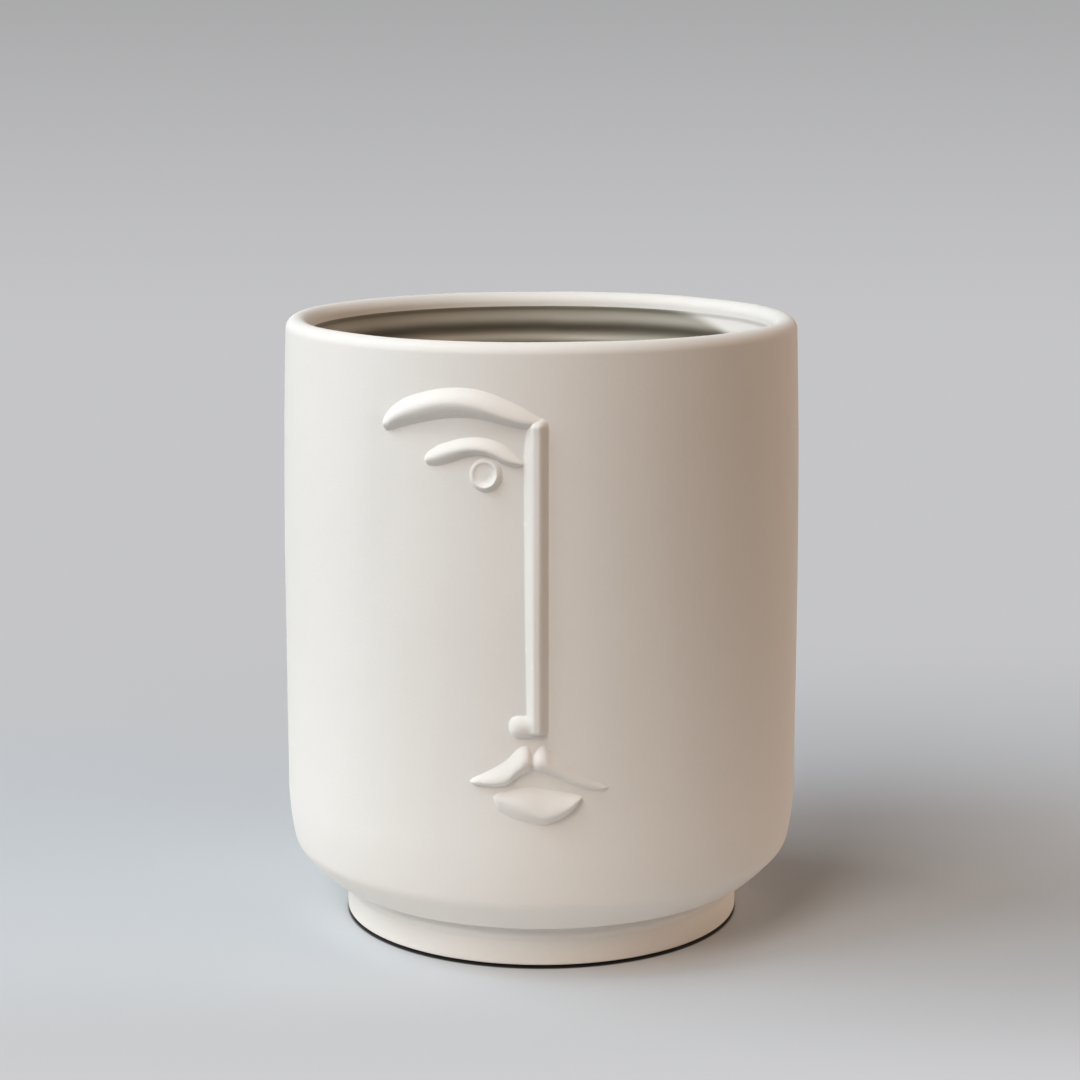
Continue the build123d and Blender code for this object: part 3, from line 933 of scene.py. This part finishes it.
# The glow is darker up the sheet and paler in front: painted shade and painted light on the backdrop.
tone = blend(tree, remap(tree, z, 0.0, RISEN), PLAIN_LOW, PLAIN_HIGH)
glow = add(tree, "ShaderNodeEmission")
feed(tree, glow.inputs["Color"], blend(tree, in_front, tone, PLAIN_IN_FRONT))
distance = add(tree, "ShaderNodeVectorMath", {"operation": "LENGTH"})
feed(tree, distance.inputs[0], place)
afar = fade(tree, distance.outputs["Value"], AFAR_FROM, AFAR_AT)
lit = blend(tree, seen, blend(tree, afar, GIVEN_BACK, GIVEN_BACK_AFAR), SHOWN)
# Under the pot and just past the foot the paper is painted nearly black, as a painted contact shadow.
beyond_foot = fade(tree, distance.outputs["Value"], DARK_TO, PALE_FROM)
feed(tree, paper_shader.inputs["Base Color"], blend(tree, beyond_foot, CONTACT_SHADOW_COLOUR, lit))
choose(tree, product(tree, seen, plain), paper_shader.outputs["BSDF"], glow.outputs["Emission"],
       "Material Output")
print("material:", paper.name)

# %% Paper sweep
SWEEP_HALF, SWEEP_FRONT, SWEEP_BENDS_AT = 3.0, -2.5, 1.2
SWEEP_R, SWEEP_TOP, SWEEP_STEPS = 0.8, 3.2, 16
bm = bmesh.new()
line = [bm.verts.new((-SWEEP_HALF, y, 0)) for y in (SWEEP_FRONT, SWEEP_BENDS_AT)]
for i in range(1, SWEEP_STEPS + 1):
    turn = radians(90) * i / SWEEP_STEPS
    bent = (SWEEP_BENDS_AT + SWEEP_R * sin(turn), SWEEP_R - SWEEP_R * cos(turn))
    line.append(bm.verts.new((-SWEEP_HALF, *bent)))
line.append(bm.verts.new((-SWEEP_HALF, SWEEP_BENDS_AT + SWEEP_R, SWEEP_TOP)))
edges = [bm.edges.new(pair) for pair in zip(line, line[1:])]
grown = bmesh.ops.extrude_edge_only(bm, edges=edges)["geom"]
across = [g for g in grown if isinstance(g, bmesh.types.BMVert)]
bmesh.ops.translate(bm, verts=across, vec=(2 * SWEEP_HALF, 0, 0))
bmesh.ops.recalc_face_normals(bm, faces=bm.faces)
mesh = bpy.data.meshes.new("paper_sweep")
bm.to_mesh(mesh)
bm.free()
mesh.shade_smooth()
mesh.materials.append(paper)
sweep = bpy.data.objects.new("paper_sweep", mesh)
scene.collection.objects.link(sweep)
print("paper sweep", len(mesh.polygons), "faces")

# %% [markdown]
# ## Light and camera
#
# The light is that of a bright room with its windows on the left. Four soft lamps stand for them: high and
# low at the side, one further back, and one high towards the front. The strongest lamp of all stands for the
# ceiling, front left and a little warm. On the right there is only what the walls give back, weaker and
# warmer, and a faint cool lamp behind the pot reaches over the rim. All of them stand equally far from the
# pot. A picture of a room wrapped round the scene could light it too, but lamps can be weighed one by one
# against the real thing.
#
# The world itself gives next to no light. The camera sees it as a plain grey where the paper ends. The
# camera stands where the photograph was taken from, 63 cm away and looking down by eleven degrees.

# %% Lamps
MIDDLE = Vector((0, 0, 0.07))
LAMP_DISTANCE = 1.35
SQUARE, LOW_WALL = (0.6, 0.6), (0.6, 0.4)
LAMPS = [
    # name, degrees round from the front and positive to the right, degrees up, size in metres, watts, colour
    ("window_high", -70, 50, SQUARE, 6.3, (0.81, 0.93, 1.0)),
    ("window_low", -75, 22, SQUARE, 2.8, (0.84, 0.94, 1.0)),
    ("window_side", -110, 30, SQUARE, 5.2, (0.98, 0.97, 0.95)),
    ("window_front", -45, 60, SQUARE, 2.8, (0.80, 0.92, 1.0)),
    ("ceiling", -30, 38, SQUARE, 8.7, (0.97, 0.85, 0.75)),
    ("wall_back", 150, 30, SQUARE, 1.4, (0.80, 0.92, 1.0)),
    ("wall_right", 125, 8, LOW_WALL, 4.3, (1.0, 0.77, 0.61)),
    ("wall_front", 60, 30, SQUARE, 3.1, (1.0, 0.62, 0.36)),
]


def lamp(name, azimuth, height, size, power, colour):
    """A soft lamp that looks at the pot's middle."""
    data = bpy.data.lights.new(name, "AREA")
    data.shape = "RECTANGLE"
    data.size, data.size_y = size
    data.energy = power
    data.color = colour
    lamp_object = bpy.data.objects.new(name, data)
    a, h = radians(azimuth), radians(height)
    lamp_object.location = MIDDLE + LAMP_DISTANCE * Vector((cos(h) * sin(a), -cos(h) * cos(a), sin(h)))
    lamp_object.rotation_euler = (MIDDLE - lamp_object.location).to_track_quat("-Z", "Y").to_euler()
    scene.collection.objects.link(lamp_object)


for row in LAMPS:
    lamp(*row)

# %% World
ROOM_COLOUR, ROOM_STRENGTH = (0.9, 0.95, 1.0), 0.004
world = bpy.data.worlds.new("room")
world.use_nodes = True
tree = world.node_tree
room = tree.nodes["Background"]
feed(tree, room.inputs["Color"], ROOM_COLOUR)
room.inputs["Strength"].default_value = ROOM_STRENGTH
backdrop = add(tree, "ShaderNodeBackground")
feed(tree, backdrop.inputs["Color"], PLAIN_HIGH)
choose(tree, camera_rays(tree), room.outputs["Background"], backdrop.outputs["Background"], "World Output")
scene.world = world
scene.view_settings.view_transform = "Standard"
print("world:", world.name)

# %% Camera
# The lens is given as its focal length in points of the photograph's frame, and its shift likewise.
FRAME, FOCAL, SHIFT = 1080, 2575, -1.4
SENSOR = 36
CAMERA_PLACE, LOOKS_DOWN = (0, -0.6293, 0.2158), 10.95
camera_data = bpy.data.cameras.new("camera")
camera_data.sensor_width = SENSOR
camera_data.lens = FOCAL / FRAME * SENSOR
camera_data.shift_x = SHIFT / FRAME
camera = bpy.data.objects.new("camera", camera_data)
camera.location = CAMERA_PLACE
camera.rotation_euler = (radians(90 - LOOKS_DOWN), 0, 0)
scene.collection.objects.link(camera)
scene.camera = camera
print("lens", round(camera_data.lens, 1), "mm")
